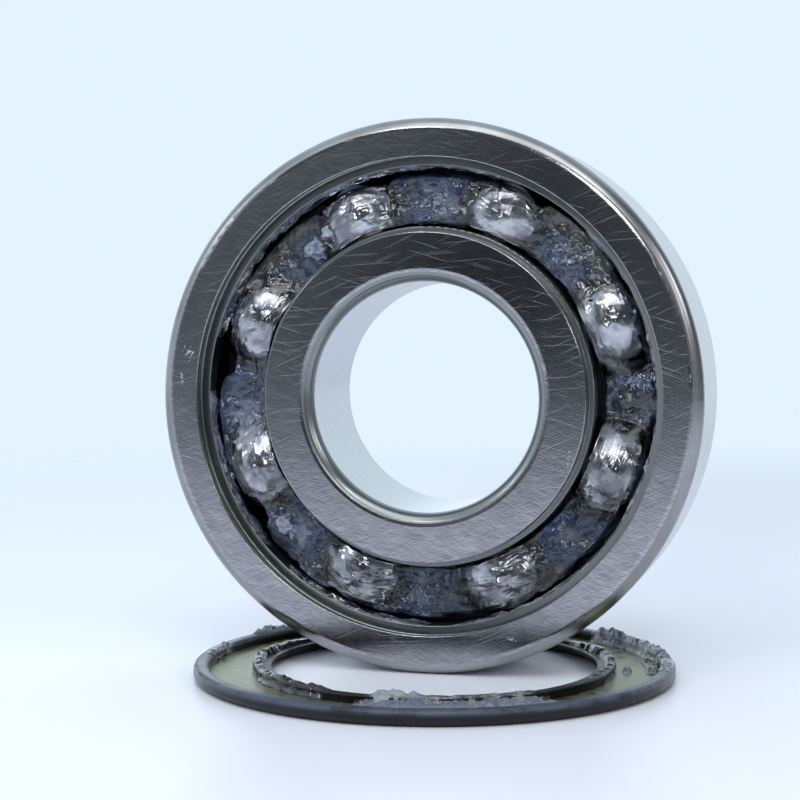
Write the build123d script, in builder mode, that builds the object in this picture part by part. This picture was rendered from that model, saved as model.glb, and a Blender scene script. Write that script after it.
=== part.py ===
from build123d import *

import os
from math import cos, radians, sin, sqrt

# Sealed single-row angular contact ball bearing for a 30 mm shaft, opened for service.
# Y is the axis of rotation, the open front faces -Y, and the origin is on the axis at mid-width.
# The bearing stands on its outside diameter. The seal taken off the front lies flat around its
# foot with the inner side up. All sizes are millimetres and degrees.

# Boundary sizes
bore_diameter = 30.0
outside_diameter = 72.0
ring_width = 19.0
outer_corner_radius = 1.7
bore_corner_radius = 1.7
edge_break = 0.15

# Balls (31/64 inch) and the raceways that they run in
ball_count = 8
first_ball_angle = 22.5
ball_diameter = 12.303
contact_angle = 30.0
groove_conformity = 0.52
raceway_gap = 0.02
raceway_edge_radius = 0.2

# Shoulders, as heights above the bottom of their raceway
outer_low_shoulder = 1.73
outer_high_shoulder = 2.80
inner_shoulder = 2.86

# Seal seat in each face of the outer ring
ledge_width = 0.96
seat_lip_width = 0.85
bead_clearance = 0.15
seat_root_radius = 0.25

# Land that the seal lip runs on, at each end of the inner ring
land_drop = 0.76
land_end_clearance = 0.16

# Seal: rubber moulded over a pressed steel insert
seal_recess = 0.44
rim_height = 2.0
rim_width = 2.0
rim_rounding = 0.6
bead_rounding = 0.3
neck_clearance = 0.10
snap_overlap = 0.25
bead_start_clearance = 0.05
neck_slope = 0.35
insert_thickness = 0.4
insert_cover = 0.3
flange_setback = 0.9
flange_cover = 0.55
insert_grip = 0.4
lip_root_gap = 0.29
lip_root_width = 1.15
lip_root_rounding = 0.3
lip_to_cage_gap = 0.3
lip_edge_drop = 0.4
lip_edge_thickness = 0.3
lip_interference = 0.20
lip_running_gap = 0.10

# Place of the seal that was taken off: how far its centre is to the right of the axis, and how
# far the edge of its hole is behind the bearing
loose_seal_x = 1.2
loose_seal_behind_ring = 3.8

# Riveted ribbon cage
ribbon_thickness = 0.9
pocket_clearance = 0.12
cage_outer_clearance = 0.45
cage_inner_clearance = 0.59
bend_radius = 0.8
blank_margin = 3.0

# Cage rivets, one in each flat between two pockets
rivet_diameter = 1.8
rivet_hole_gap = 0.01
rivet_head_diameter = 3.2
rivet_head_height = 0.75

# Sizes that follow from those above
half_width = ring_width / 2
bore_radius = bore_diameter / 2
outside_radius = outside_diameter / 2
pitch_radius = (bore_radius + outside_radius) / 2
ball_radius = ball_diameter / 2
ball_step = 360 / ball_count

# The groove centres are offset along the contact line, the outer one towards the front and the
# inner one towards the rear, so that the balls bear on the shoulders at the contact angle.
groove_radius = groove_conformity * ball_diameter
centre_offset = groove_radius - ball_radius - raceway_gap
radial_offset = centre_offset * cos(radians(contact_angle))
axial_offset = centre_offset * sin(radians(contact_angle))
outer_groove_centre = (pitch_radius - radial_offset, -axial_offset)
inner_groove_centre = (pitch_radius + radial_offset, axial_offset)
outer_groove_bottom = outer_groove_centre[0] + groove_radius
inner_groove_bottom = inner_groove_centre[0] - groove_radius

low_shoulder_radius = outer_groove_bottom - outer_low_shoulder
high_shoulder_radius = outer_groove_bottom - outer_high_shoulder
inner_shoulder_radius = inner_groove_bottom + inner_shoulder
land_radius = inner_shoulder_radius - land_drop

seat_lip_radius = low_shoulder_radius + ledge_width
bead_radius = seat_lip_radius + snap_overlap
seat_groove_radius = bead_radius + bead_clearance
ledge_depth = seal_recess + rim_height

pocket_radius = ball_radius + pocket_clearance
pocket_back_radius = pocket_radius + ribbon_thickness
cage_outer_radius = high_shoulder_radius - cage_outer_clearance
cage_inner_radius = inner_shoulder_radius + cage_inner_clearance
rivet_circle_radius = (cage_outer_radius + cage_inner_radius) / 2
rivet_radius = rivet_diameter / 2

# The root of the seal lip ends just short of the backs of the cage pockets
insert_surface = insert_cover + insert_thickness
lip_root_inner_radius = inner_shoulder_radius + lip_root_gap
lip_root_outer_radius = lip_root_inner_radius + lip_root_width
pocket_back_reach = sqrt(pocket_back_radius**2 - (pitch_radius - lip_root_outer_radius) ** 2)
lip_root_height = half_width - seal_recess - pocket_back_reach - lip_to_cage_gap

# The back of the lip is flat and meets its root just below the root's end
lip_edge_high = lip_root_height - lip_edge_drop
lip_edge_low = lip_edge_high - lip_edge_thickness
lip_root_wall = min(lip_edge_drop, lip_root_height - insert_surface)
lip_end_rounding = min(lip_root_rounding, 0.8 * lip_root_wall)
land_width = seal_recess + lip_edge_high + land_end_clearance

# The lip is smaller than its land until the seal is fitted
loose_lip_radius = land_radius - lip_interference
fitted_lip_radius = land_radius + lip_running_gap

os.makedirs("parts", exist_ok=True)


def save(piece, name):
    piece.part.label = name
    export_step(piece.part, f"parts/{name}.step")


def radial_plane(radius, angle):
    """Plane through the bearing axis, with local x outwards and local y along the axis."""
    outwards = Vector(cos(radians(angle)), 0, sin(radians(angle)))
    return Plane(origin=outwards * radius, x_dir=outwards, z_dir=outwards.cross(Vector(0, 1, 0)))


# Outer ring, going round its section from the front of the outside diameter
with BuildPart() as outer_ring:
    with BuildSketch(Plane.XY):
        with BuildLine():
            FilletPolyline(
                (outside_radius, -half_width),
                (seat_lip_radius, -half_width),
                (seat_lip_radius, -half_width + seat_lip_width),
                (seat_groove_radius, -half_width + seat_lip_width),
                (seat_groove_radius, -half_width + ledge_depth),
                (low_shoulder_radius, -half_width + ledge_depth),
                (low_shoulder_radius, 0),
                (high_shoulder_radius, 0),
                (high_shoulder_radius, half_width - ledge_depth),
                (seat_groove_radius, half_width - ledge_depth),
                (seat_groove_radius, half_width - seat_lip_width),
                (seat_lip_radius, half_width - seat_lip_width),
                (seat_lip_radius, half_width),
                (outside_radius, half_width),
                radius=[
                    outer_corner_radius,
                    edge_break,
                    edge_break,
                    seat_root_radius,
                    seat_root_radius,
                    edge_break,
                    0,
                    0,
                    edge_break,
                    seat_root_radius,
                    seat_root_radius,
                    edge_break,
                    edge_break,
                    outer_corner_radius,
                ],
                close=True,
            )
        make_face()
    revolve(axis=Axis.Y)
    with BuildSketch(Plane.XY):
        with Locations(outer_groove_centre):
            Circle(groove_radius)
    revolve(axis=Axis.Y, mode=Mode.SUBTRACT)
    raceway = outer_ring.faces().filter_by(GeomType.TORUS).sort_by(SortBy.AREA)[-1]
    fillet(raceway.edges().filter_by(GeomType.CIRCLE).sort_by(SortBy.RADIUS)[-2:], raceway_edge_radius)
save(outer_ring, "outer_ring")

# Inner ring, going round its section from the front of the bore
with BuildPart() as inner_ring:
    with BuildSketch(Plane.XY):
        with BuildLine():
            FilletPolyline(
                (bore_radius, -half_width),
                (land_radius, -half_width),
                (land_radius, -half_width + land_width),
                (inner_shoulder_radius, -half_width + land_width),
                (inner_shoulder_radius, half_width - land_width),
                (land_radius, half_width - land_width),
                (land_radius, half_width),
                (bore_radius, half_width),
                radius=[
                    bore_corner_radius,
                    edge_break,
                    edge_break,
                    edge_break,
                    edge_break,
                    edge_break,
                    edge_break,
                    bore_corner_radius,
                ],
                close=True,
            )
        make_face()
    revolve(axis=Axis.Y)
    with BuildSketch(Plane.XY):
        with Locations(inner_groove_centre):
            Circle(groove_radius)
    revolve(axis=Axis.Y, mode=Mode.SUBTRACT)
    raceway = inner_ring.faces().filter_by(GeomType.TORUS).sort_by(SortBy.AREA)[-1]
    fillet(raceway.edges().filter_by(GeomType.CIRCLE).sort_by(SortBy.RADIUS)[-2:], raceway_edge_radius)
save(inner_ring, "inner_ring")

# Balls
for number in range(ball_count):
    centre = radial_plane(pitch_radius, first_ball_angle + number * ball_step).origin
    with BuildPart() as ball:
        with Locations(centre):
            Sphere(ball_radius)
    save(ball, f"ball_{number + 1}")


def cage_half(side):
    """Ribbon pressed from sheet, with its flats on the plane given and its pockets beyond them."""
    with BuildPart(side) as half:
        with BuildSketch(side):
            Circle(pitch_radius + pocket_back_radius + blank_margin)
            Circle(pitch_radius - pocket_back_radius - blank_margin, mode=Mode.SUBTRACT)
        extrude(amount=ribbon_thickness)
        with PolarLocations(pitch_radius, ball_count, start_angle=first_ball_angle):
            Sphere(pocket_back_radius)
        front = half.faces().filter_by(GeomType.PLANE).sort_by(Axis(side.origin, side.z_dir))[-1]
        fillet(front.inner_wires().edges().sort_by(SortBy.RADIUS)[:ball_count], bend_radius)
        with BuildSketch(side):
            Circle(cage_outer_radius)
            Circle(cage_inner_radius, mode=Mode.SUBTRACT)
        extrude(amount=2 * pocket_back_radius, mode=Mode.INTERSECT)
        with PolarLocations(pitch_radius, ball_count, start_angle=first_ball_angle):
            Sphere(pocket_radius, mode=Mode.SUBTRACT)
        with BuildSketch(side):
            with PolarLocations(rivet_circle_radius, ball_count, first_ball_angle + ball_step / 2):
                Circle(rivet_radius + rivet_hole_gap)
        extrude(amount=ribbon_thickness, mode=Mode.SUBTRACT)
    return half


save(cage_half(Plane.XZ), "cage_front_half")
save(cage_half(Plane.XZ.rotated((180, 0, 0))), "cage_rear_half")

# Rivets, with a low domed head on each side of the two ribbons
for number in range(ball_count):
    place = radial_plane(rivet_circle_radius, first_ball_angle + (number + 0.5) * ball_step)
    head_radius = rivet_head_diameter / 2
    crown = ribbon_thickness + rivet_head_height
    with BuildPart() as rivet:
        with BuildSketch(place):
            with BuildLine():
                TangentArc((0, crown), (head_radius, ribbon_thickness), tangent=(1, 0))
                Polyline(
                    (head_radius, ribbon_thickness),
                    (rivet_radius, ribbon_thickness),
                    (rivet_radius, -ribbon_thickness),
                    (head_radius, -ribbon_thickness),
                )
                TangentArc((0, -crown), (head_radius, -ribbon_thickness), tangent=(1, 0))
                Line((0, -crown), (0, crown))
            make_face()
        revolve(axis=Axis(place.origin, (0, 1, 0)))
    save(rivet, f"cage_rivet_{number + 1}")


def insert_section():
    """Flat steel disc with its outer edge turned up inside the rim of the seal."""
    flange_radius = bead_radius - flange_setback
    insert_inner_radius = lip_root_inner_radius + insert_grip
    flange_height = rim_height - flange_cover
    Polyline(
        (insert_inner_radius, insert_cover),
        (flange_radius, insert_cover),
        (flange_radius, flange_height),
        (flange_radius - insert_thickness, flange_height),
        (flange_radius - insert_thickness, insert_surface),
        (insert_inner_radius, insert_surface),
        close=True,
    )


def seal_insert(place):
    """Steel insert of a seal whose outer face lies on the plane's local y of zero."""
    with BuildPart() as insert:
        with BuildSketch(place):
            with BuildLine():
                insert_section()
            make_face()
        revolve(axis=Axis(place.origin, place.y_dir))
    return insert


def seal_rubber(place, lip_radius):
    """Rubber of the seal, going round its section from the edge of the lip."""
    neck_radius = seat_lip_radius - neck_clearance
    bead_start = seat_lip_width - seal_recess + bead_start_clearance
    rim_inner_radius = bead_radius - rim_width
    with BuildPart() as rubber:
        with BuildSketch(place):
            with BuildLine():
                FilletPolyline(
                    (lip_radius, lip_edge_low),
                    (lip_root_inner_radius, 0),
                    (neck_radius - neck_slope, 0),
                    (neck_radius, neck_slope),
                    (neck_radius, bead_start),
                    (bead_radius, bead_start),
                    (bead_radius, rim_height),
                    (rim_inner_radius, rim_height),
                    (rim_inner_radius, insert_surface),
                    (lip_root_outer_radius, insert_surface),
                    (lip_root_outer_radius, lip_root_height),
                    (lip_root_inner_radius, lip_root_height),
                    (lip_root_inner_radius, lip_edge_high),
                    (lip_radius, lip_edge_high),
                    radius=[
                        0,
                        0,
                        0,
                        0,
                        0,
                        bead_rounding,
                        rim_rounding,
                        rim_rounding,
                        0,
                        0,
                        lip_end_rounding,
                        lip_end_rounding,
                        0,
                        0,
                    ],
                    close=True,
                )
            make_face()
            with BuildLine():
                insert_section()
            make_face(mode=Mode.SUBTRACT)
        revolve(axis=Axis(place.origin, place.y_dir))
    return rubber


# Rear seal, in its seat with the lip running just clear of the land
rear_place = Plane(origin=(0, half_width - seal_recess, 0), x_dir=(1, 0, 0), z_dir=(0, 0, -1))
save(seal_insert(rear_place), "rear_seal_insert")
save(seal_rubber(rear_place, fitted_lip_radius), "rear_seal_rubber")

# Front seal, lying on what the bearing stands on, with its lip relaxed
hole_edge = half_width + loose_seal_behind_ring
loose_seal_centre = (loose_seal_x, hole_edge - loose_lip_radius, -outside_radius)
front_place = Plane(origin=loose_seal_centre, x_dir=(1, 0, 0), z_dir=(0, -1, 0))
save(seal_insert(front_place), "front_seal_insert")
save(seal_rubber(front_place, loose_lip_radius), "front_seal_rubber")
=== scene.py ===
import math

import bmesh
import bpy
import numpy as np
from mathutils import Matrix, Vector, noise


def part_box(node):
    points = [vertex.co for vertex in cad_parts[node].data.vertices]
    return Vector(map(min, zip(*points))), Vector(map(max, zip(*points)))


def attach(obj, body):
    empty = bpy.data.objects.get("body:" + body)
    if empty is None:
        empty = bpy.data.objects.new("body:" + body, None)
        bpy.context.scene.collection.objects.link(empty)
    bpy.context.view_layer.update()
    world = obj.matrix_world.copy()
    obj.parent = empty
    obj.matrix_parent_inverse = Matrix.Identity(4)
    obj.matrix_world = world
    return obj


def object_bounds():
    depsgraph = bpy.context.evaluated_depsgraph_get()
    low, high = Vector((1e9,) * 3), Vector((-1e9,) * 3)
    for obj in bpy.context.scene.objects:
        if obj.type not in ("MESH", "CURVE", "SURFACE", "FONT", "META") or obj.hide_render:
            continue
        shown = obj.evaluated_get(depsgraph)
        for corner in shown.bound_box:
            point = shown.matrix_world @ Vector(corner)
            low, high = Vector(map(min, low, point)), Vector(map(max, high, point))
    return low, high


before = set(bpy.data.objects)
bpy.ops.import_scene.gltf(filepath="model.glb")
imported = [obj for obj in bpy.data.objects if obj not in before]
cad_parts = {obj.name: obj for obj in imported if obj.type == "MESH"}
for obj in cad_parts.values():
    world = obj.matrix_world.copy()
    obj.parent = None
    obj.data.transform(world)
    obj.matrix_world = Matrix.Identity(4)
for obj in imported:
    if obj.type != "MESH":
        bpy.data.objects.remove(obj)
cad_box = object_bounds()


# Camera: a long lens a little to the right of the open front and just above the axis, looking
# slightly down, so the far edge of the outside diameter shows on the right.
LENS_MM = 82.6
CAMERA_AT = (0.05929, -0.23796, 0.01235)
CAMERA_TURN = math.radians(15.223)
CAMERA_DOWN = math.radians(3.054)
CAMERA_ROLL = math.radians(-0.151)

camera_data = bpy.data.cameras.new("camera")
camera_data.sensor_width = 36.0
camera_data.lens = LENS_MM
camera_data.clip_start = 0.01
camera = bpy.data.objects.new("camera", camera_data)
camera.matrix_world = (
    Matrix.Translation(CAMERA_AT)
    @ Matrix.Rotation(CAMERA_TURN, 4, "Z")
    @ Matrix.Rotation(math.pi / 2 - CAMERA_DOWN, 4, "X")
    @ Matrix.Rotation(CAMERA_ROLL, 4, "Z")
)
scene = bpy.context.scene
scene.collection.objects.link(camera)
scene.camera = camera
scene.view_settings.view_transform = "Standard"


def linear(hex_colour):
    """A colour written as sRGB hex, as the linear values that shaders take."""
    levels = [int(hex_colour[i : i + 2], 16) / 255 for i in (1, 3, 5)]
    return [v / 12.92 if v <= 0.04045 else ((v + 0.055) / 1.055) ** 2.4 for v in levels] + [1.0]


def add(tree, kind, inputs=None, **settings):
    """Adds a node with its settings; an input is either a value or the socket that feeds it."""
    made = tree.nodes.new(kind)
    for name, value in settings.items():
        setattr(made, name, value)
    for name, value in (inputs or {}).items():
        if isinstance(value, bpy.types.NodeSocket):
            tree.links.new(value, made.inputs[name])
        else:
            made.inputs[name].default_value = value
    return made


# Studio: a white tent lit through its walls. Its front and right are open and dim, and the dark
# shape of a stand is in front, so steel that looks that way goes dark and the rest stays pale.
TENT_WHITE = "#E4F3FF"
TENT_LEVEL = 0.85
# Parts of the tent that are brighter or dimmer: degrees right of the front and up from level, the
# angles from there at which the change is full and gone, and the level. They fade out near the
# floor, between two heights given as the sines of the angles up.
TENT_PARTS = [
    ((180, 10), 60, 100, 1.0),
    ((-146, 8), 12, 30, 1.5),
    ((80, 5), 40, 75, 0.18),
    ((-5, 8), 20, 42, 0.12),
    ((-17, -2), 5, 17, 0.22),
    ((-5, -2), 6, 17, 0.10),
    ((-17, 9), 2, 7, 0.32),
    ((-13, 0.5), 1.5, 5.5, 0.0),
]
TENT_FOOT = (-0.12, -0.04)

world = bpy.data.worlds.new("light tent")
scene.world = world
world.use_nodes = True
tree = world.node_tree
tree.nodes.clear()
towards = add(tree, "ShaderNodeTexCoord").outputs["Generated"]


def around(place, inner, outer):
    """1 within the inner angle of a place in degrees right of the front and up, 0 past the outer."""
    right, up = (math.radians(v) for v in place)
    middle = (math.sin(right) * math.cos(up), -math.cos(right) * math.cos(up), math.sin(up))
    close = add(tree, "ShaderNodeVectorMath", {0: towards, 1: middle}, operation="DOT_PRODUCT")
    eased = add(
        tree,
        "ShaderNodeMapRange",
        {
            0: close.outputs["Value"],
            1: math.cos(math.radians(outer)),
            2: math.cos(math.radians(inner)),
        },
        interpolation_type="SMOOTHSTEP",
    )
    return eased.outputs[0]


height = add(tree, "ShaderNodeSeparateXYZ", {0: towards}).outputs["Z"]
over_floor = add(
    tree,
    "ShaderNodeMapRange",
    {0: height, 1: TENT_FOOT[0], 2: TENT_FOOT[1]},
    interpolation_type="SMOOTHSTEP",
).outputs[0]
level = add(tree, "ShaderNodeValue").outputs[0]
level.default_value = TENT_LEVEL
for part, inner, outer, part_level in TENT_PARTS:
    near_part = around(part, inner, outer)
    share = add(tree, "ShaderNodeMath", {0: near_part, 1: over_floor}, operation="MULTIPLY").outputs[0]
    level = add(tree, "ShaderNodeMix", {0: share, 2: level, 3: part_level}).outputs[0]
ray = add(tree, "ShaderNodeLightPath")
tent = add(tree, "ShaderNodeBackground", {"Color": linear(TENT_WHITE), "Strength": level})
plain = add(tree, "ShaderNodeBackground", {"Color": linear(TENT_WHITE), "Strength": 1.0})
seen = add(
    tree,
    "ShaderNodeMixShader",
    {0: ray.outputs["Is Camera Ray"], 1: tent.outputs[0], 2: plain.outputs[0]},
)
add(tree, "ShaderNodeOutputWorld", {"Surface": seen.outputs[0]})


def soft_lamp(name, place, aim, size, watts):
    """A square white soft box at place that faces aim."""
    lamp = bpy.data.lights.new(name, "AREA")
    lamp.shape = "SQUARE"
    lamp.size = size
    lamp.energy = watts
    holder = bpy.data.objects.new(name, lamp)
    holder.location = place
    holder.rotation_euler = (Vector(aim) - Vector(place)).to_track_quat("-Z", "Y").to_euler()
    scene.collection.objects.link(holder)


# Small lamps whose reflections glint in the wet grease
GLINTS = [
    (-0.12, -0.36, 0.28),
    (0.16, -0.30, 0.32),
    (-0.36, -0.26, 0.20),
    (0.34, -0.30, 0.16),
    (0.05, -0.40, 0.14),
]
soft_lamp("top box", (0.02, -0.22, 0.31), aim=(0, 0, 0), size=0.26, watts=0.38)
soft_lamp("right box", (0.40, -0.10, 0.20), aim=(0, 0, -0.03), size=0.12, watts=0.22)
for number, place in enumerate(GLINTS, 1):
    soft_lamp(f"glint {number}", place, aim=(0, 0, 0), size=0.07, watts=0.13)


# Floor: a sheet of glossy white acrylic, which keeps a soft shadow and a faint reflection. It
# fades out into the tent behind, so there is no line where it ends.
MM = 0.001
FLOOR_RADIUS = 0.50
FLOOR_FADE = (0.16, 0.42)
# How far under the bearing it lies, in millimetres
FLOOR_CLEARANCE = 0.02

floor_mesh = bpy.data.meshes.new("floor")
shape = bmesh.new()
bmesh.ops.create_circle(shape, cap_ends=True, segments=96, radius=FLOOR_RADIUS)
shape.to_mesh(floor_mesh)
shape.free()
floor = bpy.data.objects.new("floor", floor_mesh)
floor.location.z = cad_box[0][2] - FLOOR_CLEARANCE * MM
scene.collection.objects.link(floor)


def new_material(name):
    """An empty node material and its tree."""
    material = bpy.data.materials.new(name)
    material.use_nodes = True
    material.node_tree.nodes.clear()
    return material, material.node_tree


acrylic, tree = new_material("glossy white acrylic")
place = add(tree, "ShaderNodeTexCoord").outputs["Object"]
far = add(tree, "ShaderNodeVectorMath", {0: place}, operation="LENGTH")
fade = add(
    tree,
    "ShaderNodeMapRange",
    {"Value": far.outputs["Value"], "From Min": FLOOR_FADE[0], "From Max": FLOOR_FADE[1]},
    interpolation_type="SMOOTHSTEP",
)
sheet = add(
    tree,
    "ShaderNodeBsdfPrincipled",
    {"Base Color": linear("#F4F5FE"), "Roughness": 0.3, "Specular IOR Level": 0.12},
)
clear = add(tree, "ShaderNodeBsdfTransparent")
faded = add(
    tree, "ShaderNodeMixShader", {0: fade.outputs[0], 1: sheet.outputs[0], 2: clear.outputs[0]}
)
add(tree, "ShaderNodeOutputMaterial", {"Surface": faded.outputs[0]})
floor_mesh.materials.append(acrylic)


# Rings: through-hardened bearing steel. The side faces are ground flat between two wheels, the
# outside and the bore are ground round, and the corners, seal seats and lands are left as turned.

# Where each finish begins, in millimetres from the middle plane or from the axis
FACE_FROM_MIDDLE = 9.44
CYLINDER_END = 7.85
OUTSIDE_GROUND = 35.85
BORE_GROUND = 15.15
OUTER_CORNER_START = 34.2
# Wheel marks are about 0.02 mm wide and 0.002 mm deep; wider and deeper here so that they show.
# Each set of marks: degrees from level, then length and width
WHEEL_MARKS = [(-22, 3.0, 0.13), (30, 3.0, 0.13), (8, 3.5, 0.12)]
MARK_DEPTH = 0.024
# Each set of scratches: degrees from level and length; a scratch runs where the noise goes past
# the first of two values, and is full at the second
SCRATCHES = [(-24, 9.0), (17, 8.0), (-4, 11.0)]
SCRATCH_WIDTH = 0.12
SCRATCH_EDGE = (0.725, 0.82)
# How far apart the rings round the cylinders are, and the length over which they change
RINGS_APART = 0.15
RINGS_LENGTH = 60


def blend(tree, amount, first, second):
    """First colour where amount is 0, second colour where it is 1."""
    mixed = add(tree, "ShaderNodeMix", {0: amount, 6: first, 7: second}, data_type="RGBA")
    return mixed.outputs[2]


def ramp(tree, value, low, high, at_low=0.0, at_high=1.0):
    """Eases from at_low to at_high as the value goes from low to high."""
    eased = add(
        tree,
        "ShaderNodeMapRange",
        {0: value, 1: low, 2: high, 3: at_low, 4: at_high},
        interpolation_type="SMOOTHSTEP",
    )
    return eased.outputs[0]


def maths(tree, operation, first, second=0.0):
    """One sum on two values."""
    return add(tree, "ShaderNodeMath", {0: first, 1: second}, operation=operation).outputs[0]


def millimetres(tree):
    """The place on the piece at rest, in millimetres."""
    place = add(tree, "ShaderNodeTexCoord").outputs["Object"]
    return add(tree, "ShaderNodeVectorMath", {0: place, "Scale": 1000.0}, operation="SCALE").outputs[0]


def soft_noise(tree, place, scale, detail, **more):
    """Noise from 0 to 1 whose lumps are 1 / scale across."""
    inputs = {"Vector": place, "Scale": scale, "Detail": detail, **more}
    return add(tree, "ShaderNodeTexNoise", inputs).outputs["Fac"]


def streaks(tree, place, angle, length, width, detail):
    """Noise drawn out along one direction in the plane of the ring faces; sizes in millimetres."""
    right_through = 1000.0
    turned = add(
        tree,
        "ShaderNodeMapping",
        {
            "Vector": place,
            "Rotation": (0, math.radians(angle), 0),
            "Scale": (length, right_through, width),
        },
        vector_type="TEXTURE",
    )
    return soft_noise(tree, turned.outputs[0], 1.0, detail, Roughness=0.6)


def metal(tree, colour, roughness, bump, metallic=1.0):
    """Ends the material as metal; bump is a height and the millimetres it stands for, or None."""
    inputs = {"Base Color": colour, "Metallic": metallic, "Roughness": roughness}
    if bump:
        height, depth = bump
        raised = {"Height": height, "Distance": depth * MM, "Strength": 0.5}
        inputs["Normal"] = add(tree, "ShaderNodeBump", raised).outputs[0]
    steel = add(tree, "ShaderNodeBsdfPrincipled", inputs)
    add(tree, "ShaderNodeOutputMaterial", {"Surface": steel.outputs[0]})


def ground_bearing_steel(name):
    """Crossed wheel marks and a few deeper scratches on the faces, which catch light in thin lines;
    fine rings round the cylinders; a duller grey on the turned corners and seats."""
    material, tree = new_material(name)
    place = millimetres(tree)
    split = add(tree, "ShaderNodeSeparateXYZ", {0: place})
    beside = maths(tree, "ABSOLUTE", split.outputs["Y"])
    flat = add(tree, "ShaderNodeVectorMath", {0: place, 1: (1, 0, 1)}, operation="MULTIPLY").outputs[0]
    radius = add(tree, "ShaderNodeVectorMath", {0: flat}, operation="LENGTH").outputs["Value"]
    face = maths(tree, "GREATER_THAN", beside, FACE_FROM_MIDDLE)
    outside = maths(tree, "GREATER_THAN", radius, OUTSIDE_GROUND)
    bore = maths(tree, "LESS_THAN", radius, BORE_GROUND)
    long_part = maths(tree, "LESS_THAN", beside, CYLINDER_END)
    cylinder = maths(tree, "MULTIPLY", maths(tree, "ADD", outside, bore), long_part)
    past_corner = maths(tree, "GREATER_THAN", radius, OUTER_CORNER_START)

    marks = 0.0
    for angle, length, width in WHEEL_MARKS:
        marks = maths(tree, "ADD", marks, streaks(tree, place, angle, length, width, detail=2.0))
    marks = maths(tree, "DIVIDE", marks, len(WHEEL_MARKS))
    scratches = 0.0
    for angle, length in SCRATCHES:
        lines = streaks(tree, place, angle, length, SCRATCH_WIDTH, detail=0.0)
        scratches = maths(tree, "MAXIMUM", scratches, ramp(tree, lines, *SCRATCH_EDGE))
    along, across = 1 / RINGS_LENGTH, 1 / RINGS_APART
    squeezed = add(tree, "ShaderNodeMapping", {"Vector": place, "Scale": (along, across, along)})
    rings = soft_noise(tree, squeezed.outputs[0], 1.0, 2.0)
    clouds = soft_noise(tree, place, 0.12, 3.0)

    ground = blend(tree, ramp(tree, marks, 0.40, 0.62), linear("#8E8D92"), linear("#BEBDC2"))
    ground = blend(tree, scratches, ground, linear("#C6C6CA"))
    turned = blend(tree, ramp(tree, clouds, 0.3, 0.7), linear("#8F8F90"), linear("#A9A9AB"))
    seat = blend(tree, ramp(tree, rings, 0.35, 0.65), linear("#7F8384"), linear("#9B9E9F"))
    round_ground = blend(tree, ramp(tree, rings, 0.3, 0.7), linear("#C9CCD0"), linear("#DFE1E4"))
    colour = blend(tree, past_corner, seat, turned)
    colour = blend(tree, cylinder, colour, round_ground)
    colour = blend(tree, face, colour, ground)

    rough_face = ramp(tree, marks, 0.35, 0.65, 0.16, 0.09)
    rough_rest = ramp(tree, rings, 0.3, 0.7, 0.25, 0.33)
    roughness = add(tree, "ShaderNodeMix", {0: face, 2: rough_rest, 3: rough_face}).outputs[0]
    height = add(
        tree,
        "ShaderNodeMix",
        {
            0: face,
            2: maths(tree, "MULTIPLY", rings, 0.3),
            3: maths(tree, "SUBTRACT", marks, maths(tree, "MULTIPLY", scratches, 0.2)),
        },
    ).outputs[0]
    metal(tree, colour, roughness, (height, MARK_DEPTH))
    return material


def finish_node(node, material):
    """Gives a CAD node its material."""
    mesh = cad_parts[node].data
    mesh.materials.clear()
    mesh.materials.append(material)


ring_steel = ground_bearing_steel("ground bearing steel")
finish_node("outer_ring", ring_steel)
finish_node("inner_ring", ring_steel)


# Balls: chrome bearing steel, lapped to a mirror and wet with grease. They are dropped between the
# rings before the cage is closed round them, and show only beside its pockets.
def lapped_ball_steel(name):
    """A mirror with a thin oily haze, which breaks its reflections slightly."""
    material, tree = new_material(name)
    place = millimetres(tree)
    haze = soft_noise(tree, place, 0.5, 3.0)
    colour = blend(tree, haze, linear("#C6C8CC"), linear("#D9DADC"))
    roughness = ramp(tree, haze, 0.35, 0.7, 0.05, 0.14)
    metal(tree, colour, roughness, None)
    return material


BALLS = [n for n in sorted(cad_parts) if n.startswith("ball_")]
ball_steel = lapped_ball_steel("lapped ball steel")
for node in BALLS:
    finish_node(node, ball_steel)


# Cage: two ribbons pressed from soft steel strip, with a half pocket for each ball, tumbled bright
# and riveted together through the flats between the pockets.
def tumbled_strip_steel(name, light, dull, ridge_mm):
    """Bright but uneven steel: pressed and tumbled, then smeared, so reflections look crumpled."""
    material, tree = new_material(name)
    place = millimetres(tree)
    patches = soft_noise(tree, place, 0.32, 3.0)
    ridges = soft_noise(tree, place, 1 / ridge_mm, 2.0, Roughness=0.4, Distortion=1.2)
    colour = blend(tree, ramp(tree, patches, 0.35, 0.65), linear(dull), linear(light))
    roughness = ramp(tree, patches, 0.35, 0.7, 0.16, 0.05)
    metal(tree, colour, roughness, (ridges, 0.22))
    return material


RIVETS = [n for n in sorted(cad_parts) if n.startswith("cage_rivet_")]
cage_steel = tumbled_strip_steel("tumbled strip steel", "#C8C8CC", "#77777E", 3.4)
finish_node("cage_front_half", cage_steel)
finish_node("cage_rear_half", cage_steel)
rivet_steel = tumbled_strip_steel("cold headed rivet steel", "#B4B2A6", "#8E8C80", 1.2)
for node in RIVETS:
    finish_node(node, rivet_steel)


# Grease in the cage: soft blue-grey lithium soap grease, worked in by the balls. It fills the
# hollows between the pockets, lies as a clear wet film over them and hangs over the cage's edges.
STRIP_THICKNESS = 0.9
BALL_CIRCLE = 25.5
# How high it fills each hollow, by degrees round the cage, in millimetres from the middle plane,
# and how many degrees from a hollow's middle the fill begins to fall and has gone
FLAT_FILL = {0: 2.2, 45: 5.2, 90: 5.3, 135: 4.4, 180: 5.1, 225: 5.4, 270: 4.6, 315: 5.0}
FILL_FALL = (8, 37)
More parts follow.
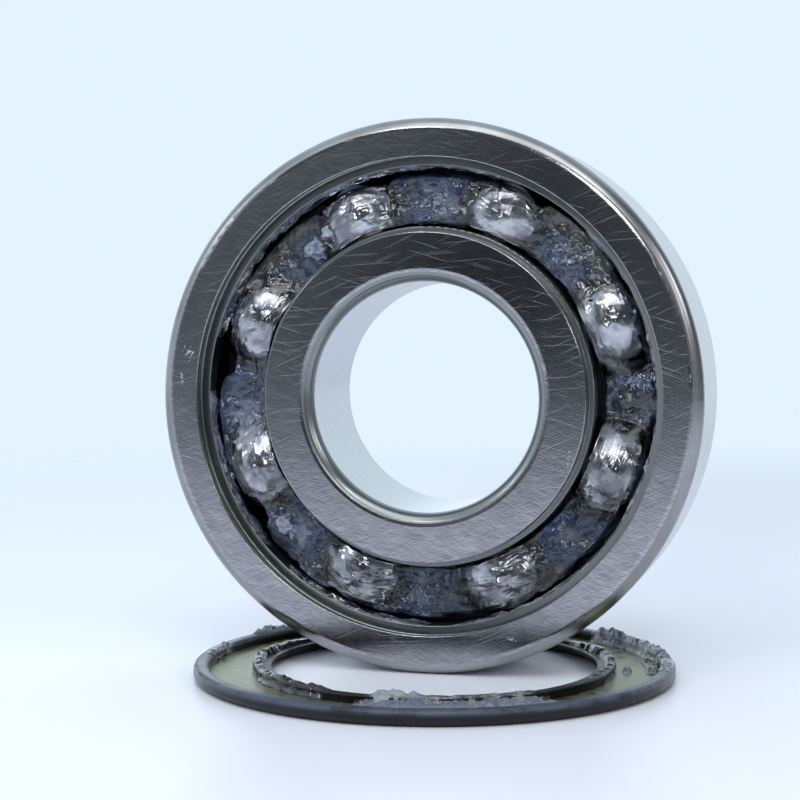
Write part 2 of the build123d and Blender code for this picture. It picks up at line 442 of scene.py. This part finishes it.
# Degrees round the cage and to each side: where it leaves dark gaps at the cage's outer edge, where
# it hangs there as an aged flap, and where it reaches out level with the cage's edge
OUTER_GAPS = {64: 8, 112: 14, 168: 9, 213: 6}
FLAPS = {46: 16, 140: 16, 300: 10}
BRIDGES = {188: 15, 231: 14, 264: 12, 4: 12}
# Peaks of worked grease: where round the cage, how far out, how wide and how high
PEAKS = [
    (128, 24.9, 1.9, 1.3),
    (122.5, 25.6, 0.9, 1.6),
    (191, 26.2, 2.4, 0.5),
    (222, 26.5, 1.6, 0.8),
]
# Where air is worked in and the grease is paler: round the cage, how far out, how wide, how pale
PALE = [
    (128, 24.9, 1.9, 0.9),
    (122.5, 25.6, 0.9, 0.9),
    (186, 25.6, 2.4, 0.55),
    (192, 25.8, 2.5, 0.5),
    (221, 26.6, 1.6, 0.75),
    (226, 25.7, 1.5, 0.6),
    (84, 24.6, 2.4, 0.4),
    (8, 25.2, 1.0, 0.4),
    (338, 25.6, 1.2, 0.35),
]
# How far its film stands off the cage on average, how much it sinks back between the pockets and
# how wide the hollow is where it meets them
FILM = 0.12
SINK = 0.22
HOLLOW = 1.4
# How steeply it droops past the cage's outer edge, how much less in a bridge, and past the inner
DROOP = 1.7
BRIDGE_HOLDS = 1.5
DROOP_INSIDE = 3.0
# How far it reaches past the outer edge, how unevenly, and how much less in a gap or more in a bridge
EDGE_PAST = 0.75
EDGE_TORN = 0.7
GAP_BACK = 1.7
BRIDGE_OUT = 0.4
# How far the mesh of its skin goes past the cage's inner and outer edge, and its spacing
OVERHANG_IN = 0.45
OVERHANG_OUT = 0.9
GREASE_STEP = 0.16
GREASE_STEP_ROUND = 0.2

cage_low, cage_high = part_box("cage_front_half")
cage_outer = cage_high.x / MM
pocket_back = -cage_low.y / MM
ball_middles = [(sum(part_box(n), Vector()) / 2) / MM for n in BALLS]
rivet_middles = [(sum(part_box(n), Vector()) / 2) / MM for n in RIVETS]
rivet_low, rivet_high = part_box(RIVETS[0])
rivet_crown = -rivet_low.y / MM
rivet_head_radius = (rivet_high.z - rivet_low.z) / 2 / MM
# The rivets are half-way across the cage's flats.
cage_inner = min(Vector((m.x, m.z)).length for m in rivet_middles) * 2 - cage_outer


def lumps(x, y, z, size, octaves, shift):
    """Smooth noise between about -1 and 1, whose lumps are size millimetres across; each shift
    gives other lumps."""
    places = np.stack(np.broadcast_arrays(x, y, z), -1)
    flat = places.reshape(-1, 3) / size + shift
    values = [noise.fractal(Vector(p), 1.0, 2.0, octaves) for p in flat]
    return np.array(values).reshape(places.shape[:-1])


def eased_max(first, second, width):
    """The higher of the two, with the corner between them rounded."""
    return (first + second + np.sqrt((first - second) ** 2 + width**2)) / 2


def ease(value, low, high):
    """Goes smoothly from 0 to 1 as the value goes from low to high."""
    share = np.clip((value - low) / (high - low), 0, 1)
    return share * share * (3 - 2 * share)


def turn_from(angles, degrees):
    """How far the angles are from this one, in degrees either way."""
    return np.abs((np.degrees(angles) - degrees + 180) % 360 - 180)


def shell(name, top, bottom, keep, goes_round, body, material, **values):
    """A closed skin between two grids of points in millimetres, where keep is true at its corners;
    each of the values becomes an attribute that its material reads."""
    rows, columns = keep.shape
    cells = keep[:-1] & keep[1:]
    cells = cells & np.roll(cells, -1, 1)
    if not goes_round:
        cells[:, -1] = False
    index = np.arange(rows * columns).reshape(rows, columns)
    after = np.roll(index, -1, 1)
    under = rows * columns
    corners = np.stack([index[:-1], index[1:], after[1:], after[:-1]], -1)[cells]
    faces = [corners, corners[:, ::-1] + under]
    blank = np.zeros((1, columns), bool)
    inward, outward = np.vstack([blank, cells]), np.vstack([cells, blank])
    before = np.roll(cells, 1, 1)
    if not goes_round:
        before[:, 0] = False
    for start, end, edge in (
        (after, index, outward & ~inward),
        (index, after, inward & ~outward),
        (index[:-1], index[1:], cells & ~before),
        (index[1:], index[:-1], before & ~cells),
    ):
        p, q = start[edge], end[edge]
        faces.append(np.stack([q, p, p + under, q + under], -1))
    faces = np.concatenate(faces)
    used, faces = np.unique(faces, return_inverse=True)
    points = np.concatenate([top.reshape(-1, 3), bottom.reshape(-1, 3)])[used] * MM
    mesh = bpy.data.meshes.new(name)
    mesh.from_pydata(points.tolist(), [], faces.reshape(-1, 4).tolist())
    mesh.polygons.foreach_set("use_smooth", np.ones(len(mesh.polygons), bool))
    for label, grid in values.items():
        both = np.concatenate([grid.ravel(), grid.ravel()])[used]
        mesh.attributes.new(label, "FLOAT", "POINT").data.foreach_set("value", both.astype(np.float32))
    mesh.materials.append(material)
    piece = bpy.data.objects.new(name, mesh)
    scene.collection.objects.link(piece)
    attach(piece, body)


def lithium_grease(name, shine):
    """Wet and clear where it is thin; blue-grey and cloudy where it is deep or has air worked in;
    shine is the strength of its wet reflections."""
    material, tree = new_material(name)
    place = millimetres(tree)
    depth = add(tree, "ShaderNodeAttribute", attribute_name="depth").outputs["Fac"]
    air = add(tree, "ShaderNodeAttribute", attribute_name="air").outputs["Fac"]
    aged = add(tree, "ShaderNodeAttribute", attribute_name="aged").outputs["Fac"]
    swirls = soft_noise(tree, place, 0.22, 2.0, Distortion=0.8)
    cloudy = maths(tree, "MAXIMUM", ramp(tree, depth, 0.3, 3.0, 0.0, 0.30), air)
    cloudy = maths(tree, "MULTIPLY", cloudy, ramp(tree, swirls, 0.3, 0.7, 0.75, 1.1))
    clear = maths(tree, "SUBTRACT", 1.0, cloudy)
    oily = blend(tree, ramp(tree, swirls, 0.40, 0.66), linear("#566A98"), linear("#5F6878"))
    oily = blend(tree, aged, oily, linear("#6E7068"))
    thin = blend(tree, ramp(tree, depth, 0.2, 1.6), linear("#EEF0F4"), oily)
    colour = blend(tree, air, thin, linear("#B2BED2"))
    # Ripples 1.7 mm apart left by the balls, and sharp little lips where the skin was pulled off.
    skin = soft_noise(tree, place, 0.6, 0.3, Roughness=0.4, Distortion=0.3)
    pulled = soft_noise(tree, place, 0.75, 0.0, Distortion=0.9)
    lip_height = ramp(tree, depth, 0.3, 1.4, 0.1, 0.22)
    lips = maths(tree, "MULTIPLY", ramp(tree, pulled, 0.47, 0.62), lip_height)
    bump = add(
        tree,
        "ShaderNodeBump",
        {
            "Height": maths(tree, "ADD", skin, lips),
            "Distance": 0.55 * MM,
            "Strength": ramp(tree, depth, 0.2, 1.2, 0.14, 0.85),
        },
    )
    gel = add(
        tree,
        "ShaderNodeBsdfPrincipled",
        {
            "Base Color": colour,
            "Roughness": 0.03,
            "IOR": 1.52,
            "Specular IOR Level": shine,
            "Transmission Weight": clear,
            "Coat Weight": shine,
            "Coat Roughness": 0.02,
            "Normal": bump.outputs[0],
        },
    )
    add(tree, "ShaderNodeOutputMaterial", {"Surface": gel.outputs[0]})
    return material


grease = lithium_grease("lithium grease", 0.6)

reach = np.arange(cage_inner - OVERHANG_IN, cage_outer + OVERHANG_OUT, GREASE_STEP)
columns = int(2 * math.pi * cage_outer / GREASE_STEP_ROUND)
turns = np.linspace(0, 2 * math.pi, columns, endpoint=False)
radius, angle = np.meshgrid(reach, turns, indexing="ij")
x, z = radius * np.cos(angle), radius * np.sin(angle)

# Height of the cage's front at each point, from the middle plane of the bearing
held = np.clip(radius, cage_inner, cage_outer)
hx, hz = held * np.cos(angle), held * np.sin(angle)
off_ball = np.min([np.hypot(hx - m.x, hz - m.z) for m in ball_middles], 0)
off_rivet = np.min([np.hypot(hx - m.x, hz - m.z) for m in rivet_middles], 0)
pocket = np.sqrt(np.clip(pocket_back**2 - off_ball**2, 0, None))
cage_front = eased_max(pocket, STRIP_THICKNESS, 0.3)
head = STRIP_THICKNESS + (rivet_crown - STRIP_THICKNESS) * (1 - (off_rivet / rivet_head_radius) ** 2)
cage_front = np.maximum(cage_front, head)


def near(places, full):
    """1 within this share of each place's width round the cage, easing to 0 at the whole width."""
    return sum(1 - ease(turn_from(angle, at), wide * full, wide) for at, wide in places.items())


# How high the hollows are filled, and noise for how uneven, torn, trailed and ridged the grease is
fill = sum(high * (1 - ease(turn_from(angle, at), *FILL_FALL)) for at, high in FLAT_FILL.items())
slow = lumps(x, 0, z, 5.0, 3, 7.3)
small = lumps(x, 0, z, 1.4, 2, 21.7)
torn = lumps(x, 0, z, 0.75, 4, 83.0)
on_circle = BALL_CIRCLE * np.cos(angle), BALL_CIRCLE * np.sin(angle)
trails = lumps(on_circle[0], radius * 6, on_circle[1], 4.5, 3, 31.0)
ridges = 1 - np.abs(lumps(x, 0, z, 2.2, 2, 3.1)) * 2.2


def within(spot):
    """1 in the middle of a round spot on the cage, 0 outside it."""
    turn, out, wide = math.radians(spot[0]), spot[1], spot[2]
    away = np.hypot(x - out * math.cos(turn), z - out * math.sin(turn))
    return 1 - ease(away + wide * (0.35 * small + 0.55 * torn), 0.7 * wide, 0.95 * wide)


# A thin film follows the cage; the fill lies between the pockets, and the peaks stand on it
film = np.clip(FILM + 0.18 * slow + 0.07 * ridges + 0.09 * trails, -0.06, 0.6)
creases = 1 - np.abs(lumps(x, 0, z, 1.5, 2, 17.0)) * 2.5
level = fill + 0.75 * slow + 0.24 * small + 0.06 * trails + 0.05 * creases
for peak in PEAKS:
    level = level + within(peak) * peak[3] * (1 + 0.9 * torn)
filmed = cage_front + film
grease_front = np.maximum(eased_max(filmed, level, HOLLOW) - SINK, filmed)

# Where it hangs past the cage's edges it droops, except in the flaps and bridges
gap = near(OUTER_GAPS, 0.5)
flap = near(FLAPS, 0.6)
bridge = flap + near(BRIDGES, 0.6)
past_outer = np.clip(radius - cage_outer, 0, None)
past_inner = np.clip(cage_inner - radius, 0, None)
droop = (DROOP - BRIDGE_HOLDS * bridge) * past_outer**1.4
grease_front = grease_front - droop - DROOP_INSIDE * past_inner
edge_out = cage_outer + EDGE_PAST + EDGE_TORN * lumps(x, 0, z, 3.0, 3, 40.0)
edge_out = edge_out - GAP_BACK * gap + BRIDGE_OUT * bridge
edge_in = cage_inner - 0.15 + 0.6 * lumps(x, 0, z, 4.0, 2, 55.0)
past = past_outer + past_inner
covered = grease_front > cage_front - 0.08 - 9 * past
under = np.where(past > 0, grease_front - 0.4, cage_front - 0.1)
deep = np.clip(grease_front - cage_front, 0, None) + 2.0 * past_outer
air = ease(lumps(x, 0, z, 3.2, 3, 90.0) + 0.15 * slow, 0.30, 0.6) * 0.35
for spot in PALE:
    air = np.maximum(air, within(spot) * spot[3])
shell(
    "grease_in_cage",
    np.stack([x, -grease_front, z], -1),
    np.stack([x, -np.minimum(under, grease_front - 0.05), z], -1),
    (radius < edge_out) & (radius > edge_in) & covered,
    True,
    "cage",
    grease,
    depth=deep,
    air=air,
    aged=flap * ease(radius, cage_outer - 2.2, cage_outer - 0.4),
)


# Grease on the rings: thrown on to the wall of the outer ring's low shoulder, where it clings in a
# torn strip, and a few dried flecks left on the ground faces by fingers.
WALL_RADIUS = 29.97
WALL_FRONT = 7.02
WALL_BACK = 5.0
# How thick it may be and how far it goes into the wall, so that no gap shows
WALL_MOST = 0.54
WALL_ROOT = 0.06
# Where the strip clings: round the ring, how many degrees to each side and how thick
WALL_STRIPS = [
    (20, 34, 0.30),
    (84, 20, 0.34),
    (118, 24, 0.42),
    (152, 14, 0.5),
    (193, 15, 0.5),
    (214, 10, 0.4),
    (250, 22, 0.3),
    (300, 26, 0.3),
    (335, 16, 0.3),
]
FINE_STEP = 0.14
WALL_COLUMNS = 1200

across = np.arange(WALL_FRONT, WALL_BACK, -FINE_STEP)
turns = np.linspace(0, 2 * math.pi, WALL_COLUMNS, endpoint=False)
front_of, angle = np.meshgrid(across, turns, indexing="ij")
wx, wz = WALL_RADIUS * np.cos(angle), WALL_RADIUS * np.sin(angle)
clings = np.zeros_like(angle)
for at, wide, thick in WALL_STRIPS:
    clings = clings + thick * (1 - ease(turn_from(angle, at), wide * 0.7, wide))
torn = lumps(wx, front_of * 1.5, wz, 2.6, 4, 12.0)
thick = np.clip(clings * (1.0 + 1.1 * torn) - 0.05, 0, WALL_MOST)
thick = thick * ease(WALL_FRONT + 0.1 - front_of, 0, 0.5)
skin, root = WALL_RADIUS - thick, WALL_RADIUS + WALL_ROOT
shell(
    "grease_on_outer_ring",
    np.stack([skin * np.cos(angle), -front_of, skin * np.sin(angle)], -1),
    np.stack([root * np.cos(angle), -front_of, root * np.sin(angle)], -1),
    thick > 0.03,
    True,
    "outer_ring",
    grease,
    depth=0.6 + 4.0 * thick,
    air=ease(torn, 0.1, 0.5) * 0.4,
)

# Each fleck: which ring, degrees round it, how far out, and half its width and height
FACE_FLECKS = [
    ("outer_ring", 170, 32.4, 0.7, 0.9),
    ("outer_ring", 176, 33.1, 0.3, 1.0),
    ("outer_ring", 291, 33.0, 0.6, 0.3),
    ("outer_ring", 341, 31.75, 0.3, 0.6),
    ("inner_ring", 338.5, 20.75, 0.4, 1.0),
]
FACE = 9.5
FLECK_HEIGHT = 0.12

patch = np.linspace(-1.5, 1.5, 31)
right, up = np.meshgrid(patch, patch, indexing="ij")
for number, (ring, at, out, half_wide, half_high) in enumerate(FACE_FLECKS, 1):
    turn = math.radians(at)
    fx = out * math.cos(turn) + right * half_wide
    fz = out * math.sin(turn) + up * half_high
    ragged = lumps(fx, 0, fz, 0.4, 3, 70.0 + number)
    height = FLECK_HEIGHT * np.clip(0.75 - np.hypot(right, up) + 1.4 * ragged, 0, 1)
    shell(
        f"dried_fleck_{number}",
        np.stack([fx, -FACE - height, fz], -1),
        np.stack([fx, np.full_like(fx, 0.02 - FACE), fz], -1),
        height > 0.01,
        False,
        ring,
        grease,
        depth=np.full_like(fx, 0.3),
        air=np.full_like(fx, 0.55),
    )


# Seals: nitrile rubber moulded over a pressed steel insert and snapped into the outer ring. The
# rear one is in its seat; the front one has been prised out and lies flat with its inside up.

# The loose seal's middle and the floor under it, in millimetres
SEAL_MIDDLE = (1.2, -7.9)
SEAL_FLOOR = -36.0
# The round shoulder of its bead gets a painted highlight, a paler band in its colour: how far out and
# how high above the floor this begins and is complete. The rear seal is all above the last height and
# gets none.
PAINTED_HIGHLIGHT_OUT = (29.0, 30.0)
PAINTED_HIGHLIGHT_HIGH = (1.1, 1.7)
LOOSE_SEAL_BELOW = 3.0


def moulded_nitrile(name):
    """Near-black rubber with a soft sheen from the mould, finely grained; a painted highlight on the
    loose seal's bead shoulder.
    """
    material, tree = new_material(name)
    place = millimetres(tree)
    above = add(tree, "ShaderNodeSeparateXYZ", {"Vector": place}).outputs["Z"]
    grain = soft_noise(tree, place, 6.0, 3.0)
    smears = soft_noise(tree, place, 0.25, 4.0)
    colour = blend(tree, ramp(tree, smears, 0.4, 0.7), linear("#07070B"), linear("#111118"))
    middle = (*SEAL_MIDDLE, SEAL_FLOOR + 1.0)
    out = add(tree, "ShaderNodeVectorMath", {0: place, 1: middle}, operation="DISTANCE")
    # Painted highlight: a paler grey-blue colour on the loose seal's bead shoulder, in place of the
    # lamp's reflection there
    high = ramp(tree, above, SEAL_FLOOR + PAINTED_HIGHLIGHT_HIGH[0], SEAL_FLOOR + PAINTED_HIGHLIGHT_HIGH[1])
    painted_highlight = maths(tree, "MULTIPLY", high, ramp(tree, out.outputs["Value"], *PAINTED_HIGHLIGHT_OUT))
    loose = maths(tree, "LESS_THAN", above, SEAL_FLOOR + LOOSE_SEAL_BELOW)
    painted_highlight = maths(tree, "MULTIPLY", painted_highlight, loose)
    painted_highlight = maths(tree, "MULTIPLY", painted_highlight, ramp(tree, smears, 0.35, 0.6, 0.35, 0.9))
    colour = blend(tree, painted_highlight, colour, linear("#4C5464"))
    roughness = ramp(tree, smears, 0.3, 0.7, 0.22, 0.36)
    bump = add(tree, "ShaderNodeBump", {"Height": grain, "Distance": 0.04 * MM, "Strength": 0.5})
    rubber = add(
        tree,
        "ShaderNodeBsdfPrincipled",
        {
            "Base Color": colour,
            "Roughness": roughness,
            "IOR": 1.52,
            "Specular IOR Level": 0.36,
            "Normal": bump.outputs[0],
        },
    )
    add(tree, "ShaderNodeOutputMaterial", {"Surface": rubber.outputs[0]})
    return material


def phosphated_insert_steel(name):
    """Dull greenish grey, from the phosphate coat that the rubber bonds to, wiped with grease."""
    material, tree = new_material(name)
    place = millimetres(tree)
    mottle = soft_noise(tree, place, 0.6, 5.0)
    grain = soft_noise(tree, place, 7.0, 2.0)
    colour = blend(tree, ramp(tree, mottle, 0.35, 0.65), linear("#777B60"), linear("#979B83"))
    roughness = ramp(tree, mottle, 0.3, 0.7, 0.26, 0.42)
    metal(tree, colour, roughness, (grain, 0.03), metallic=0.8)
    return material


nitrile = moulded_nitrile("moulded nitrile rubber")
insert_steel = phosphated_insert_steel("phosphated insert steel")
for end in ("rear", "front"):
    finish_node(f"{end}_seal_rubber", nitrile)
    finish_node(f"{end}_seal_insert", insert_steel)


# Grease on the loose seal: pulled away with it when it was prised out, so it stands in torn clumps
# on the lip and the insert, pale where it has been whipped with air, and in smears on the rim.

# The top of the seal, from the lip outwards: how far out, and how high above the floor
SEAL_TOP = [
    (21.2, 1.4),
    (22.4, 1.42),
    (22.5, 1.8),
    (23.5, 1.8),
    (23.65, 0.7),
    (29.1, 0.7),
    (29.3, 1.9),
    (30.8, 1.95),
    (31.15, 1.4),
]
# Each clump: degrees round the seal and to each side, how far out, half its width, height, paleness
CLUMPS = [
    (48, 8, 29.3, 1.6, 1.15, 0.3),
    (30, 22, 29.7, 1.5, 0.75, 0.2),
    (10, 16, 30.0, 1.3, 0.45, 0.25),
    (15, 13, 28.2, 1.0, 0.8, 0.15),
    (8, 3, 25.0, 0.8, 0.7, 0.1),
    (15, 42, 22.9, 1.1, 0.5, 0.06),
    (273, 10, 22.9, 1.3, 0.75, 0.6),
    (292, 36, 23.4, 1.4, 0.35, 0.5),
    (290, 36, 26.2, 3.6, 1.25, 0.45),
    (188, 40, 22.9, 1.1, 0.5, 0.02),
    (232, 24, 23.0, 1.2, 0.55, 0.02),
    (153, 8, 30.4, 0.9, 0.8, 0.35),
    (181, 10, 29.7, 0.9, 0.5, 0.2),
    (264, 4, 30.9, 0.5, 0.2, 0.6),
]
# How far in and out the mesh of the clumps goes, and how many columns it has round the seal
SEAL_REACH = (21.3, 31.3)
SEAL_COLUMNS = 1000

# Seen against white the clumps look dull, so they shine less than the grease in the cage
dull_grease = lithium_grease("dirty lithium grease", 0.2)
reach = np.arange(*SEAL_REACH, FINE_STEP)
turns = np.linspace(0, 2 * math.pi, SEAL_COLUMNS, endpoint=False)
radius, angle = np.meshgrid(reach, turns, indexing="ij")
sx = SEAL_MIDDLE[0] + radius * np.cos(angle)
sy = SEAL_MIDDLE[1] + radius * np.sin(angle)
seal_top = np.interp(radius, *zip(*SEAL_TOP))
broken = lumps(sx, sy, 0, 2.2, 4, 33.0)
fine = lumps(sx, sy, 0, 0.8, 3, 61.0)
standing, whipped = np.zeros_like(radius), np.zeros_like(radius)
for at, turn, out, wide, high, pale in CLUMPS:
    close = 1 - ease(turn_from(angle, at), turn * 0.45, turn)
    close = close * (1 - ease(np.abs(radius - out), wide * 0.3, wide))
    here = high * close * (0.9 + 0.6 * broken + 0.25 * fine)
    whipped = np.where(here > standing, pale, whipped)
    standing = np.maximum(standing, here)
standing = standing - 0.08
shell(
    "grease_on_front_seal",
    np.stack([sx, sy, SEAL_FLOOR + (seal_top + standing)], -1),
    np.stack([sx, sy, SEAL_FLOOR + seal_top - 0.05], -1),
    standing > 0.02,
    True,
    "front_seal",
    dull_grease,
    depth=0.25 + 0.9 * np.clip(standing, 0, None),
    air=whipped * ease(standing, 0.05, 0.5),
)
